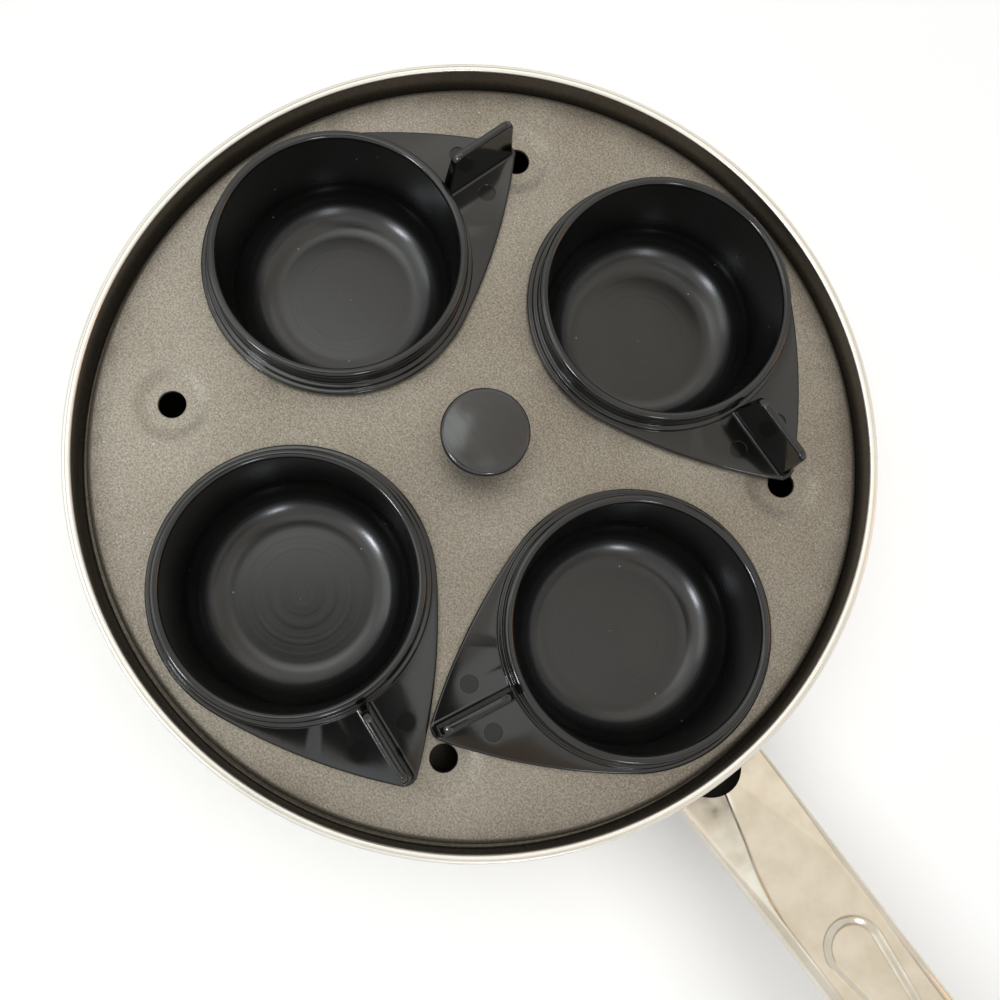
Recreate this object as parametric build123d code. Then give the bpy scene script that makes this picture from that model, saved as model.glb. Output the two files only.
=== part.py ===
from build123d import *
from math import asin, atan2, cos, degrees, radians, sin, sqrt, tan
import os

# Egg poacher pan: a round pan with a stamped steel handle, a loose tray that sits on a
# ledge inside the rim, and four moulded cups that hang in holes of the tray.
# Millimetres and degrees. The origin is the centre of the pan's underside, +Z is up and
# the handle points along +X.

# Pan shell
rim_radius = 98.0           # bore of the rim, which the tray and its four cups follow
rim_round = 0.6
rim_groove_width = 0.3      # fine line turned in the rim's top
rim_groove_depth = 0.2
pan_height = 55.0
pan_wall = 2.2              # also the width of the rim's bare metal top
base_thickness = 3.0
base_round = 11.0           # outside radius between wall and base
ledge_width = 3.0           # step in the wall that carries the tray
ledge_round = 1.2
base_ring_width = 1.2       # turned rings in the underside
base_ring_depth = 0.4
base_ring_pitch = 13.0
base_ring_count = 6

# Tray
tray_drop = 7.4             # tray's top below the rim
tray_margin = 5.6           # from the cup holes to the tray's edge
tray_gap = 0.9              # between the tray's edge and the rim's bore
tray_shift_share = 0.65     # how much of that gap the loose tray lies off centre, along +Y
tray_thickness = 1.2
tray_lip_height = 3.6       # turned-down edge that stands on the ledge
tray_edge_round = 1.5
tray_turn = 1.9             # degrees that the loose tray lies turned from the handle
vent_radius = 3.4
vent_margin = 19.5          # from the vents' middles to the tray's edge
dimple_radius = 9.5         # pressed hollow round each vent
dimple_floor_radius = 6.0
dimple_depth = 1.0

# Cups
cup_count = 4
cup_gap = 1.2               # between a cup's body and its hole in the tray
lip_radius_share = 0.3306   # the lip's outside, as a share of the rim's bore
lip_width = 2.2
lip_round_share = 0.48      # rounding of the lip's edges, as a share of its width
lip_height = 9.1            # lip above the tray
bowl_depth = 33.7           # lip to inside floor
bowl_draft = 2.0            # how far the bowl's wall leans in over its depth
bowl_round = 11.0
cup_wall = 2.0
cup_body_inset = 0.8        # from the lip's outside in to the bowl's, where it passes the tray
cup_body_draft = 1.4
step_width = 1.2            # ring between skirt and flange
step_height = 3.2
flange_width = 1.3          # how far the flange stands out past that ring
flange_thickness = 1.9
wing_reach_share = 0.94     # the wing's reach, as a share of the radius on which the cups lie
wing_tip_radius = 3.4
wing_edge_radius = 150.0    # the wing's long edges bulge at this radius
fin_root_gap = 0.4          # from the skirt to the fin's inner edge
fin_inner_lean = 2.2        # how far that edge leans out over the fin's height
fin_outer_lean = 1.0        # how far the outer edge leans in
fin_tip_gap = 1.0           # from the fin's outer edge to the wing's tip
fin_height = 18.0           # fin's top above the tray
fin_round = 2.8
fin_base_thickness = 3.2
fin_top_thickness = 2.0
pin_mark_radius = 2.15      # round mould marks on the wing, either side of the fin
pin_mark_depth = 0.2
pin_mark_reach = 7.1        # from the flange's edge
pin_mark_offset = 6.4

# Each cup's place round the tray and the way its wing points, in degrees
cup_place_angles = {"cup_1": 180.0, "cup_2": 90.0, "cup_3": 270.0, "cup_4": 0.0}
cup_wing_angles = {"cup_1": 90.4, "cup_2": -1.1, "cup_3": -4.5, "cup_4": -99.3}

# Where each loose cup lies in its hole, along X and Y, as shares of the gap round it
cup_shift_shares = {
    "cup_1": (-0.3, 0.3),
    "cup_2": (-0.4, 0.6),
    "cup_3": (-0.1, 0.25),
    "cup_4": (0.45, 0.5),
}

# Knob, its insert, screw and washer
knob_radius = 10.9
knob_height = 15.0
knob_rim_height = 3.2       # thickness of the knob's head at its edge
knob_head_taper = 2.2       # how far the head's underside slopes down to the neck
knob_dome_radius = 75.0
knob_neck_radius = 5.8
knob_foot_radius = 8.0
knob_foot_height = 1.6
knob_foot_taper = 2.4
knob_round = 1.1
insert_radius = 3.2
insert_length = 9.5
insert_gap = 0.05           # insert to knob, and insert to screw
screw_radius = 2.0
screw_end_gap = 1.5         # from the screw's end to the insert's
screw_head_radius = 4.0
screw_head_height = 2.2
screw_slot_width = 1.0
screw_slot_depth = 1.1
screw_hole_gap = 0.2
washer_radius = 5.5
washer_thickness = 0.8

# Handle
handle_drop = 11.0          # handle's top at the pan, below the rim
handle_rise = 5.4           # degrees
handle_length = 178.0       # from the pan's wall to the rounded end
handle_root_width = 25.5
handle_lean = 0.47          # degrees that each side leans in as it goes out
handle_root_depth = 12.8    # side skirts at the pan
handle_depth = 4.2          # side skirts further out
skirt_taper_reach = 50.0    # where the skirts stop growing shallower
skirt_taper_round = 80.0
handle_skin = 1.2
handle_edge_round = 3.0
handle_gap = 0.2            # between the handle's end and the pan's wall
notch_radius = 8.0          # round notch in the handle's end
notch_reach = 5.3           # how far it reaches out along the handle
notch_offset = 0.7          # notch's middle from the handle's, towards -Y
crease_start_reach = 6.0    # creases that run from the notch out to the edges
crease_start_offset = 2.2
crease_end_reach = 31.0
crease_end_offset = 9.6
crease_drop = 2.4           # how far the flank falls from the crease to the edge
thumb_start = 43.2          # thumb rest, which narrows outwards
thumb_length = 42.0
thumb_radius = 8.0
thumb_end_radius = 4.0
thumb_slope = 2.2
thumb_depth = 0.9
hang_hole_radius = 5.0

# Bracket and rivets
bracket_thickness = 1.5
bracket_height = 21.0
bracket_length = 22.0
bracket_drop = 4.4          # bracket's top below the handle's top
bracket_web_rise = 1.0      # underside of the bracket's web above the skirts' lower edge
bracket_gap = 0.1           # bracket to wall and bracket to handle
rivet_radius = 2.4
rivet_head_radius = 4.2
rivet_head_height = 1.4
rivet_margin = 4.45         # from the plate's side edge to the rivet's middle
rivet_drop = 12.6           # below the bracket's top
rivet_gap = 0.05
rivet_seat_gap = 0.25       # flat head against the curved wall

overrun = 5.0               # how far cutters pass what they cut

# Levels and radii worked out from the sizes above
lip_radius = lip_radius_share * rim_radius
cup_body_radius = lip_radius - cup_body_inset
step_radius = lip_radius + step_width
flange_radius = step_radius + flange_width
cup_hole_radius = cup_body_radius + cup_gap
tray_radius = rim_radius - tray_gap
vent_pitch_radius = tray_radius - vent_margin
cup_pitch_radius = tray_radius - tray_margin - cup_hole_radius
wing_reach = wing_reach_share * cup_pitch_radius
tray_top = pan_height - tray_drop
ledge_level = tray_top - tray_lip_height
rim_outer_radius = rim_radius + pan_wall
lower_radius = rim_radius - ledge_width
lower_outer_radius = lower_radius + pan_wall
screw_reach = insert_length - screw_end_gap
lean = radians(handle_lean)
handle_end_radius = (
    (handle_root_width / 2 * cos(lean) - handle_length * sin(lean)) / (1 - sin(lean))
)
handle_end_centre = handle_length - handle_end_radius
handle_top = pan_height - handle_drop
bracket_top = handle_top - bracket_drop
bracket_half_width = handle_root_width / 2 - handle_skin - bracket_gap
rivet_level = bracket_top - rivet_drop
rivet_turn = degrees(asin((bracket_half_width - rivet_margin) / lower_outer_radius))

FROM_BOTTOM = (Align.CENTER, Align.CENTER, Align.MIN)


def lathe(corners):
    """Solid of revolution about Z from (radius, height, corner radius) points."""
    points = [(r, z) for r, z, _ in corners]
    rounds = [corner for _, _, corner in corners]
    outline = FilletPolyline(*points, radius=rounds, close=True)
    return revolve(Plane.XZ * make_face(outline), Axis.Z)


def disc(radius, bottom, top):
    """Cylinder about Z between two heights."""
    return Pos(0, 0, bottom) * Cylinder(radius, top - bottom, align=FROM_BOTTOM)


def rivet_bars(radius, near, far):
    """Radial cylinders at the rivets' places, between two distances from the pan's axis."""
    bar = Rot(0, 90, 0) * Cylinder(radius, far - near, align=FROM_BOTTOM)
    return [
        Rot(0, 0, side * rivet_turn) * Pos(near, 0, rivet_level) * bar
        for side in (-1, 1)
    ]


def pan_shell():
    groove_middle = rim_radius + pan_wall / 2
    groove_inner = groove_middle - rim_groove_width / 2
    groove_outer = groove_middle + rim_groove_width / 2
    groove_floor = pan_height - rim_groove_depth
    step_under = ledge_level - pan_wall
    shell = lathe([
        (0, 0, 0),
        (lower_outer_radius, 0, base_round),
        (lower_outer_radius, step_under, ledge_round),
        (rim_outer_radius, step_under, ledge_round),
        (rim_outer_radius, pan_height, rim_round),
        (groove_outer, pan_height, 0),
        (groove_outer, groove_floor, 0),
        (groove_inner, groove_floor, 0),
        (groove_inner, pan_height, 0),
        (rim_radius, pan_height, rim_round),
        (rim_radius, ledge_level, 0),
        (lower_radius, ledge_level, ledge_round),
        (lower_radius, base_thickness, base_round - pan_wall),
        (0, base_thickness, 0),
    ])
    for number in range(1, base_ring_count + 1):
        middle = number * base_ring_pitch
        ring = disc(middle + base_ring_width / 2, -overrun, base_ring_depth)
        ring -= disc(middle - base_ring_width / 2, -overrun, base_ring_depth)
        shell -= ring
    for hole in rivet_bars(rivet_radius + rivet_gap, lower_radius - overrun, rim_outer_radius):
        shell -= hole
    return shell


def ring_of_places(count, radius, first_angle):
    """Places evenly spaced round the tray's centre."""
    return [
        Rot(0, 0, first_angle + index * 360 / count) * Pos(radius, 0, 0)
        for index in range(count)
    ]


def dimple(level):
    """Flat-floored round hollow that opens upwards from a level."""
    return Pos(0, 0, level - dimple_depth) * Cone(
        dimple_floor_radius, dimple_radius, dimple_depth, align=FROM_BOTTOM
    )


def tray():
    inner_radius = tray_radius - tray_thickness
    plate = lathe([
        (0, 0, 0),
        (tray_radius, 0, tray_edge_round),
        (tray_radius, -tray_lip_height, 0),
        (inner_radius, -tray_lip_height, 0),
        (inner_radius, -tray_thickness, tray_edge_round),
        (0, -tray_thickness, 0),
    ])
    half_step = 180 / cup_count
    for place in ring_of_places(cup_count, vent_pitch_radius, half_step):
        plate += place * dimple(-tray_thickness)
        plate -= place * dimple(0)
        plate -= place * disc(vent_radius, -tray_lip_height, overrun)
    for place in ring_of_places(cup_count, cup_pitch_radius, 0):
        plate -= place * disc(cup_hole_radius, -tray_lip_height, overrun)
    plate -= disc(screw_radius + screw_hole_gap, -tray_lip_height, overrun)
    return plate


def wing_plan():
    """Plan of the wing: the flange's circle drawn out to a rounded tip along +X."""
    tip_reach = wing_reach - wing_tip_radius
    flange_arm = wing_edge_radius - flange_radius
    tip_arm = wing_edge_radius - wing_tip_radius
    centre_x = (tip_reach**2 + flange_arm**2 - tip_arm**2) / (2 * tip_reach)
    centre_y = -sqrt(flange_arm**2 - centre_x**2)
    start_angle = atan2(-centre_y, -centre_x)
    end_angle = atan2(-centre_y, tip_reach - centre_x)
    middle_angle = (start_angle + end_angle) / 2

    def edge_point(angle, side):
        x = centre_x + wing_edge_radius * cos(angle)
        y = centre_y + wing_edge_radius * sin(angle)
        return (x, side * y)

    angles = (start_angle, middle_angle, end_angle)
    left = ThreePointArc(*[edge_point(angle, 1) for angle in angles])
    right = ThreePointArc(*[edge_point(angle, -1) for angle in angles])
    tip = ThreePointArc(left @ 1, (wing_reach, 0), right @ 1)
    back = ThreePointArc(left @ 0, (-flange_radius, 0), right @ 0)
    return make_face([left, tip, right, back])


def fin():
    """Upright fin on the wing, thicker at its base, with rounded top corners."""
    base = flange_thickness / 2
    root = lip_radius + fin_root_gap
    tip = wing_reach - fin_tip_gap
    side = FilletPolyline(
        (root, base),
        (root + fin_inner_lean, fin_height),
        (tip - fin_outer_lean, fin_height),
        (tip, base),
        radius=[0, fin_round, fin_round, 0],
        close=True,
    )
    blade = extrude(Plane.XZ * make_face(side), fin_base_thickness / 2, both=True)
    half_base = fin_base_thickness / 2
    half_top = fin_top_thickness / 2
    wedge = make_face(Polyline(
        (-half_base, base),
        (half_base, base),
        (half_top, fin_height),
        (-half_top, fin_height),
        close=True,
    ))
    return blade & extrude(Plane.YZ * wedge, wing_reach)


def cup():
    """One moulding: bowl, skirt with its step, flange, wing and fin, wing along +X."""
    bowl_floor = lip_height - bowl_depth
    bowl_radius = lip_radius - lip_width
    underside = bowl_floor - cup_wall
    lip_round = lip_round_share * lip_width
    bowl = lathe([
        (0, underside, 0),
        (cup_body_radius - cup_body_draft, underside, bowl_round + cup_wall),
        (cup_body_radius, 0, 0),
        (flange_radius, 0, 0),
        (flange_radius, flange_thickness, 0),
        (step_radius, flange_thickness, 0),
        (step_radius, step_height, 0),
        (lip_radius, step_height, 0),
        (lip_radius, lip_height, lip_round),
        (bowl_radius, lip_height, lip_round),
        (bowl_radius - bowl_draft, bowl_floor, bowl_round),
        (0, bowl_floor, 0),
    ])
    wing = extrude(wing_plan(), flange_thickness) - disc(cup_body_radius, -overrun, lip_height)
    moulding = bowl + wing + fin()
    for side in (-1, 1):
        mark = disc(pin_mark_radius, flange_thickness - pin_mark_depth, lip_height)
        moulding -= Pos(flange_radius + pin_mark_reach, side * pin_mark_offset, 0) * mark
    return moulding


def knob():
    cavity = insert_radius + insert_gap
    head_under = knob_height - knob_rim_height
    body = lathe([
        (cavity, 0, 0),
        (knob_foot_radius, 0, 0),
        (knob_foot_radius, knob_foot_height, 0),
        (knob_neck_radius, knob_foot_height + knob_foot_taper, knob_foot_taper),
        (knob_neck_radius, head_under - knob_head_taper, knob_head_taper),
        (knob_radius, head_under, 0),
        (knob_radius, knob_height, knob_round),
        (0, knob_height, 0),
        (0, insert_length + insert_gap, 0),
        (cavity, insert_length + insert_gap, 0),
    ])
    return body & Pos(0, 0, knob_height - knob_dome_radius) * Sphere(knob_dome_radius)


def knob_insert():
    sleeve = disc(insert_radius, 0, insert_length)
    return sleeve - disc(screw_radius + insert_gap, -overrun, insert_length + overrun)


def knob_washer():
    under = -tray_thickness - washer_thickness
    ring = disc(washer_radius, under, -tray_thickness)
    return ring - disc(screw_radius + screw_hole_gap, under - overrun, overrun)


def knob_screw():
    head_top = -tray_thickness - washer_thickness
    head_under = head_top - screw_head_height
    screw = disc(screw_radius, head_top, screw_reach)
    screw += disc(screw_head_radius, head_under, head_top)
    slot = Pos(0, 0, head_under) * Box(
        2 * screw_head_radius, screw_slot_width, 2 * screw_slot_depth
    )
    return screw - slot - Rot(0, 0, 90) * slot


# The handle is drawn flat, with its top face at height 0 and the pan's wall at 0 along X,
# then set on the pan by this place.
handle_place = Pos(rim_outer_radius, 0, handle_top) * Rot(0, -handle_rise, 0)


def handle_plan(inset):
    """Plan of the handle: leaning sides and a round end, drawn in by an inset."""
    root_half = handle_root_width / 2 + overrun * tan(lean) - inset / cos(lean)
    radius = handle_end_radius - inset
    touch_x = handle_end_centre + radius * sin(lean)
    touch_y = radius * cos(lean)
    sides = Polyline(
        (touch_x, touch_y),
        (-overrun, root_half),
        (-overrun, -root_half),
        (touch_x, -touch_y),
    )
    end = ThreePointArc(sides @ 0, (handle_end_centre + radius, 0), sides @ 1)
    return make_face([sides, end])


def crease_cutter(side, lift):
    """Block above one flank: it shaves the flank from the crease down to the edge."""
    start = Vector(crease_start_reach, side * crease_start_offset, lift)
    end = Vector(crease_end_reach, side * crease_end_offset, lift)
    low = Vector(crease_start_reach, side * handle_root_width / 2, lift - crease_drop)
    normal = (end - start).cross(low - start) * side
    flank = Plane(origin=start, x_dir=end - start, z_dir=normal)
    block = Box(handle_length, handle_length, handle_root_depth, align=FROM_BOTTOM)
    return flank * Pos(0, side * handle_length / 2, 0) * block


def rounded_bar(inset, top, bottom):
    """Handle-shaped bar between two heights, with its top edges rounded and creased."""
    bar = Pos(0, 0, bottom) * extrude(handle_plan(inset), top - bottom)
    top_edges = bar.faces().sort_by(Axis.Z)[-1].edges()
    long_edges = top_edges.sort_by(Axis.X)[1:]
    bar = fillet(long_edges, handle_edge_round - inset)
    for side in (-1, 1):
        bar -= crease_cutter(side, top)
    return bar


def skirt_cutter(lift):
    """Block under the skirts' lower edges, which rise away from the pan."""
    root = lift - handle_root_depth
    far = lift - handle_depth
    past_end = handle_length + overrun
    side = FilletPolyline(
        (0, root),
        (skirt_taper_reach, far),
        (past_end, far),
        (past_end, root - overrun),
        (0, root - overrun),
        radius=[0, skirt_taper_round, 0, 0, 0],
        close=True,
    )
    return extrude(Plane.XZ * make_face(side), handle_root_width, both=True)


def thumb_hollow(level):
    """Hollow for the thumb with sloping sides, its mouth at a level."""
    start = thumb_start + thumb_radius
    end = thumb_start + thumb_length - thumb_end_radius

    def outline(inset, height):
        near = Pos(start, 0, height) * CenterArc((0, 0), thumb_radius - inset, 0, 360)
        far = Pos(end, 0, height) * CenterArc((0, 0), thumb_end_radius - inset, 0, 360)
        return make_face(make_hull([near, far]))

    return loft([outline(0, level), outline(thumb_slope, level - thumb_depth)])


def handle():
    shell = rounded_bar(0, 0, -handle_root_depth)
    shell -= rounded_bar(handle_skin, -handle_skin, -handle_root_depth - overrun)
    shell -= skirt_cutter(0)
    shell += thumb_hollow(-handle_skin)
    shell -= thumb_hollow(0)
    hang_hole = disc(hang_hole_radius, -handle_depth, overrun)
    shell -= Pos(handle_end_centre, 0, 0) * hang_hole
    notch = disc(notch_radius, -handle_root_depth, overrun)
    shell -= Pos(notch_reach - notch_radius, -notch_offset, 0) * notch
    shell = handle_place * shell
    return shell - disc(rim_outer_radius + handle_gap, 0, pan_height + overrun)


def handle_bracket():
    """Plate on the pan's wall and a channel inside the handle: two cheeks and a web."""
    cheek_inset = handle_skin + bracket_gap
    cheek_height = handle_root_depth - bracket_drop
    web_bottom = bracket_web_rise - handle_root_depth
    web_climb = bracket_length * (handle_root_depth - handle_depth) / skirt_taper_reach
    plan = handle_plan(cheek_inset) - handle_plan(cheek_inset + bracket_thickness)
    reach = Pos(-overrun, 0, 0) * Rectangle(
        bracket_length + overrun, handle_root_width, align=(Align.MIN, Align.CENTER)
    )
    cheeks = Pos(0, 0, -handle_root_depth) * extrude(plan & reach, cheek_height)
    web_side = make_face(Polyline(
        (-overrun, web_bottom),
        (0, web_bottom),
        (bracket_length, web_bottom + web_climb),
        (bracket_length, web_bottom + web_climb + bracket_thickness),
        (0, web_bottom + bracket_thickness),
        (-overrun, web_bottom + bracket_thickness),
        close=True,
    ))
    web = extrude(Plane.XZ * web_side, bracket_half_width - bracket_thickness / 2, both=True)
    channel = handle_place * (cheeks - skirt_cutter(0) + web)
    wall_face = lower_outer_radius + bracket_gap
    plate = disc(wall_face + bracket_thickness, bracket_top - bracket_height, bracket_top)
    plate &= Box(
        2 * rim_outer_radius, 2 * bracket_half_width, 2 * pan_height,
        align=(Align.MIN, Align.CENTER, Align.CENTER)
    )
    bracket = plate + channel - disc(wall_face, 0, pan_height)
    for hole in rivet_bars(rivet_radius + rivet_gap, lower_radius, rim_outer_radius):
        bracket -= hole
    return bracket


def bracket_rivets():
    """Two headed rivets through the pan's wall and the bracket's plate."""
    inner_seat = lower_radius - rivet_seat_gap
    outer_seat = lower_outer_radius + bracket_gap + bracket_thickness
    rivets = []
    shanks = rivet_bars(rivet_radius, inner_seat, outer_seat)
    inner_heads = rivet_bars(rivet_head_radius, inner_seat - rivet_head_height, inner_seat)
    outer_heads = rivet_bars(rivet_head_radius, outer_seat, outer_seat + rivet_head_height)
    for shank, inner_head, outer_head in zip(shanks, inner_heads, outer_heads):
        rivets.append(shank + inner_head + outer_head)
    return Compound(children=rivets)


parts = {
    "pan_shell": pan_shell(),
    "handle": handle(),
    "handle_bracket": handle_bracket(),
    "bracket_rivets": bracket_rivets(),
}
on_tray = Pos(0, tray_shift_share * tray_gap, tray_top) * Rot(0, 0, tray_turn)
parts["tray"] = on_tray * tray()
parts["knob"] = on_tray * knob()
parts["knob_insert"] = on_tray * knob_insert()
parts["knob_screw"] = on_tray * knob_screw()
parts["knob_washer"] = on_tray * knob_washer()
moulded_cup = cup()
for name, (share_x, share_y) in cup_shift_shares.items():
    hole = on_tray * Rot(0, 0, cup_place_angles[name]) * Pos(cup_pitch_radius, 0, 0)
    slack = Vector(share_x * cup_gap, share_y * cup_gap, 0)
    parts[name] = Location(hole.position + slack) * Rot(0, 0, cup_wing_angles[name]) * moulded_cup

os.makedirs("parts", exist_ok=True)
for name, shape in parts.items():
    export_step(shape, f"parts/{name}.step")
    print(f"{name}: {len(shape.solids())} solid(s), {shape.volume:.0f} mm3")
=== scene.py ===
from math import atan2, ceil, cos, hypot, pi, radians, sin, sqrt, tan

import bmesh
import bpy
from mathutils import Matrix, Vector
from mathutils.geometry import delaunay_2d_cdt


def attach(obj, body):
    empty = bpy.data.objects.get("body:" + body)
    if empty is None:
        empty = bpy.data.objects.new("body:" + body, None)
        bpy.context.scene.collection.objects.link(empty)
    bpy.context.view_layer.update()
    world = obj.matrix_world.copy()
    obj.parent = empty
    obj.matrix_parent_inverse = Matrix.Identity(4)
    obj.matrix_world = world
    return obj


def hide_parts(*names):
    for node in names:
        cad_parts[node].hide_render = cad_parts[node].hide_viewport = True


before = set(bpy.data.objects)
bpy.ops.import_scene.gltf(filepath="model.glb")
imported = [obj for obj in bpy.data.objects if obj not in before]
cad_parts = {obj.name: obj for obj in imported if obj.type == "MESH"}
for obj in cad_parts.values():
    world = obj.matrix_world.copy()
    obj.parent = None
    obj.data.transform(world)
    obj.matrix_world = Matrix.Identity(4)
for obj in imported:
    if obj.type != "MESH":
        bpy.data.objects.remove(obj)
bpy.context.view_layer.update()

# Looks of the egg poacher pan. Lengths are in millimetres and turned to metres by MM. The
# origin is the centre of the pan's underside, +Z is up and the handle points along +X.

MM = 0.001
WELD = 0.00001              # points nearer than this, in metres, are one point
NEARLY_NOTHING = 0.0001     # a length under this, in millimetres, is taken as none
SOFT_STEP = radians(5)      # turn of each step along a large rounding
SHARP_STEP = radians(20)    # the same along a small one
ARC_SAG = 0.01              # how far a step's chord may lie from its rounding
EDGE_STRIP = 0.4            # width of the face kept beside each bend, for clean shading
ROUND_MARGIN = 0.01         # a rounding that fills its whole run is drawn this much smaller
SHARP_ANGLE = radians(35)   # edges that turn by more than this are shaded sharp
AXIS_RADIUS = 1.0           # turned profiles ride on a circle of this radius
BIG_SEGMENTS = 256
HOLE_SEGMENTS = 128
SMALL_SEGMENTS = 48

# Pan
RIM_RADIUS = 98.0
RIM_OUTER_RADIUS = 100.2
RIM_ROUND = 0.75
RIM_GROOVE = 0.3
RIM_GROOVE_DEPTH = 0.2
PAN_HEIGHT = 55.0
PAN_WALL = 2.2
PAN_LOWER_RADIUS = 95.0
PAN_BASE = 3.0
PAN_BASE_ROUND = 11.0
LEDGE_LEVEL = 44.0
LEDGE_ROUND = 1.2
LEDGE_CORNER = 0.4
BASE_RING_PITCH = 13.0
BASE_RING_HALF = 0.6
BASE_RING_DEPTH = 0.4
BASE_RING_COUNT = 6
COATING_END = 0.45          # the coating ends this far below the rim's top
COATING_MARGIN = 0.04       # how far past the rim's bore a coated face's middle may lie

# Tray
TRAY_TOP = 47.6
TRAY_SHIFT = 0.585          # the loose tray lies this far off centre, along +Y
TRAY_TURN = 1.9             # degrees
HOLE_COUNT = 4              # cup holes, with as many vents between them
TRAY_RADIUS = 97.1
TRAY_THICKNESS = 1.2
TRAY_LIP = 3.6
TRAY_LIP_ROUND = 0.25
TRAY_ROUND = 1.5
VENT_RADIUS = 3.4
VENT_RING = 77.6
DIMPLE_RADIUS = 10.4
DIMPLE_FLOOR = 5.6
DIMPLE_DEPTH = 1.0
DIMPLE_STEPS = 14
VENT_EDGE = 1.2             # flat left round a vent in its dimple's floor, before its eased edge
HOLE_RADIUS = 32.8
HOLE_RING = 58.7
EDGE_BREAK = 0.3
SCREW_HOLE = 2.2

# Cups: place round the tray, way the wing points, and shift of the loose cup in its hole
CUPS = {
    "cup_1": (180.0, 90.4, -0.36, 0.36),
    "cup_2": (90.0, -1.1, -0.48, 0.72),
    "cup_3": (270.0, -4.5, -0.12, 0.3),
    "cup_4": (0.0, -99.3, 0.54, 0.6),
}
LIP_RADIUS = 32.4
LIP_WIDTH = 2.2
LIP_HEIGHT = 9.1
LIP_ROUND = 1.05
BOWL_FLOOR = -24.6
BOWL_DRAFT = 2.0
BOWL_ROUND = 11.0
BODY_RADIUS = 31.6
BODY_DRAFT = 1.4
BODY_UNDER = -26.6
BODY_ROUND = 13.0
STEP_RADIUS = 33.6
STEP_HEIGHT = 3.2
STEP_ROUND = 0.35
FLANGE_RADIUS = 34.9
PLATE_TOP = 1.9
PLATE_ROUND = 0.55
PLATE_ROUND_STEPS = 5
PLATE_BREAK = 0.25
BREAK_SHARE = 0.3           # an eased edge passes this share of its width from the corner
FOOT_FILLET = 0.3
WING_REACH = 55.2
WING_TIP = 3.4
WING_EDGE = 150.0
WING_TIP_STEPS = 20
WING_EDGE_STEPS = 36
FLANGE_STEPS = 110
FIN_ROOT = 32.8
FIN_HEIGHT = 18.0
FIN_INNER_LEAN = 2.2
FIN_OUTER_LEAN = 1.0
FIN_TIP = 54.2
FIN_CORNER = 2.8
FIN_CORNER_STEPS = 12
FIN_BASE_HALF = 1.6
FIN_TOP_HALF = 1.0
FIN_TOP_ROUND = 0.75
FIN_TOP_STEPS = 6
FIN_FLARE = 0.7
FIN_FOOT_DEPTH = 0.28       # how far the fin's foot reaches into the plate
FIN_FOOT_RISES = (0.0, 0.08, 0.2, 0.4, FIN_FLARE, FIN_FLARE + 0.5)     # levels drawn over the plate
FIN_CORNER_DROPS = (4.0, 0.5)                       # and below the top corners
FIN_SETBACK = 0.3           # the flared foot stays this far inside the wing's tip
BAR_ROUND_SHARE = 0.9       # largest share of a bar's half width that its corners round
BAR_ROUND_STEPS = 6
RING_RADIUS = 14.3          # ring turned on the bowl's floor
RING_HALF = 0.5
SATIN_REACH = (29.4, 30.2)  # the satin bowl ends and the glossy outside begins here
GLOSSY_ROUGHNESS = 0.12
PIN_RADIUS = 2.15
PIN_DEPTH = 0.2
PIN_BREAK = 0.08
PIN_BREAK_DEPTH = 0.07
PIN_REACH = 42.0
PIN_OFFSET = 6.4
PIN_DULL_REACH = (PIN_RADIUS - 0.1, PIN_RADIUS + 0.15)     # the duller mark fades out here

# Knob
KNOB_RADIUS = 10.9
KNOB_HEIGHT = 15.0
KNOB_UNDER = 11.8
KNOB_NECK = 5.8
KNOB_FOOT = 8.0
KNOB_FOOT_HEIGHT = 1.6
KNOB_FOOT_TAPER = 2.4       # height and rounding of the slope from the foot to the neck
KNOB_HEAD_TAPER = 2.2       # the same from the neck to the head
KNOB_FOOT_EDGE = 0.25
KNOB_FOOT_ROUND = 0.35
KNOB_HEAD_EDGE = 0.5
KNOB_DOME = 75.0            # radius of the head's domed top
KNOB_CROWN = 1.1            # rounding between the top and the side
KNOB_TOP_START = 1.3        # the domed top starts this far in from the side
KNOB_TOP_RADII = (8.0, 6.0, 4.0, 2.0, 0.0)
KNOB_SEGMENTS = 96
KNOB_BORE = 3.25
KNOB_BORE_DEPTH = 9.55

# Handle, drawn flat with its top face at height 0, then raised and tilted
HANDLE_TOP = 44.0
HANDLE_RISE = 5.4           # degrees
HANDLE_LENGTH = 178.0
HANDLE_HALF = 12.75
HANDLE_LEAN = radians(0.47)
HANDLE_ROUND = 3.0
HANDLE_SKIN = 1.2
HANDLE_ROOT_DEPTH = 12.8
HANDLE_DEPTH = 4.2
SKIRT_REACH = 50.0
SKIRT_BLEND = 6.8
HANDLE_START = -6.0         # the skin begins this far inside the rim, to be cut
FINE_REACH = 92.0           # columns are closer together up to here
FINE_STEP = 0.5
COARSE_STEP = 1.6
END_STEPS = 24              # columns round half of the handle's end
END_GAP = 0.4               # the straight columns stop this far before the rounded end
ROLL_ROWS = 9
TOP_ROWS = 22
SKIRT_ROWS = (0, 0.06, 0.35, 0.7, 0.93)
CREASE_REACH = 58.0         # the flanks have run out by here
CREASE_SLOPE = 0.237        # fall of the flank for each millimetre away from the crease
CREASE_BLEND = 0.9
BEND_POWER = 4              # the larger, the harder the flank and the side's roll meet
CREASE_LINE = (
    (-6.0, -1.2), (3.0, 1.3), (6.0, 2.1), (9.0, 3.0), (13.0, 4.1), (17.0, 5.3),
    (21.0, 6.7), (25.0, 7.9), (30.0, 9.0), (36.0, 9.9), (44.0, 11.6), (60.0, 16.0),
)
NOTCH_RADIUS = 8.0
NOTCH_MIDDLE = (-2.7, -0.7)
THUMB_NEAR = 51.2           # middle of the thumb rest's near, wide end
THUMB_FAR = 81.2
THUMB_RADIUS = 8.0
THUMB_END_RADIUS = 4.0
THUMB_SLOPE = 3.0
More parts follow.
